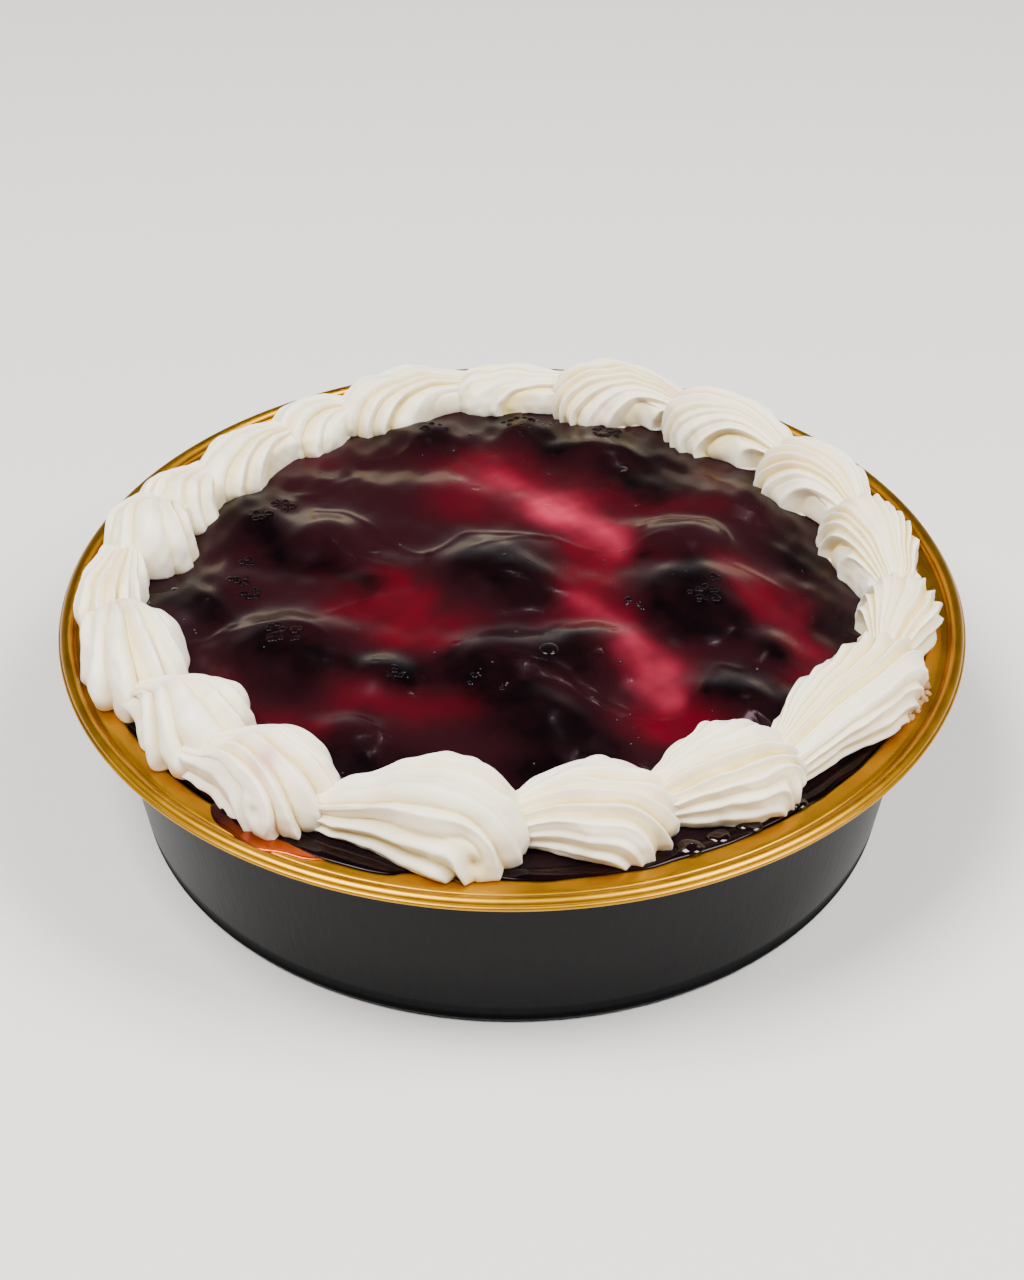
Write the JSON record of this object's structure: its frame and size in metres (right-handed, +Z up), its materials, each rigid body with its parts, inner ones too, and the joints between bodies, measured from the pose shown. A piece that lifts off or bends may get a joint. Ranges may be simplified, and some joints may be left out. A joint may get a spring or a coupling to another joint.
{
  "type": "blueberry pie",
  "caption": "Whole round blueberry pie in a smooth-walled foil tin, gold inside and dark outside, with a glossy glazed berry top and a border of piped cream shells.",
  "frame": {"origin": "centre of the tin's base, on the surface that it stands on", "axes": "+Z up, +X to the right and +Y to the back as the picture shows the pie"},
  "size_m": [0.19, 0.19, 0.0612],
  "materials": {
    "lacquered_foil": "aluminium foil with a gold lacquer inside and on the rim, satin",
    "dark_lacquer": "satin charcoal lacquer on the outer wall, with fine upright draw lines",
    "berry_glaze": "wet, glossy jelly glaze over dark blueberries, red where it is thin",
    "whipped_cream": "soft satin whipped cream"
  },
  "bodies": {
    "root": {"tin": "lacquered_foil", "filling": "berry_glaze", "cream_shell_01": "whipped_cream", "cream_shell_02": "whipped_cream", "cream_shell_03": "whipped_cream", "cream_shell_04": "whipped_cream", "cream_shell_05": "whipped_cream", "cream_shell_06": "whipped_cream", "cream_shell_07": "whipped_cream", "cream_shell_08": "whipped_cream", "cream_shell_09": "whipped_cream", "cream_shell_10": "whipped_cream", "cream_shell_11": "whipped_cream", "cream_shell_12": "whipped_cream", "cream_shell_13": "whipped_cream", "cream_shell_14": "whipped_cream", "cream_shell_15": "whipped_cream", "cream_shell_16": "whipped_cream", "cream_shell_17": "whipped_cream", "cream_shell_18": "whipped_cream", "cream_shell_19": "whipped_cream"}
  },
  "joints": []
}
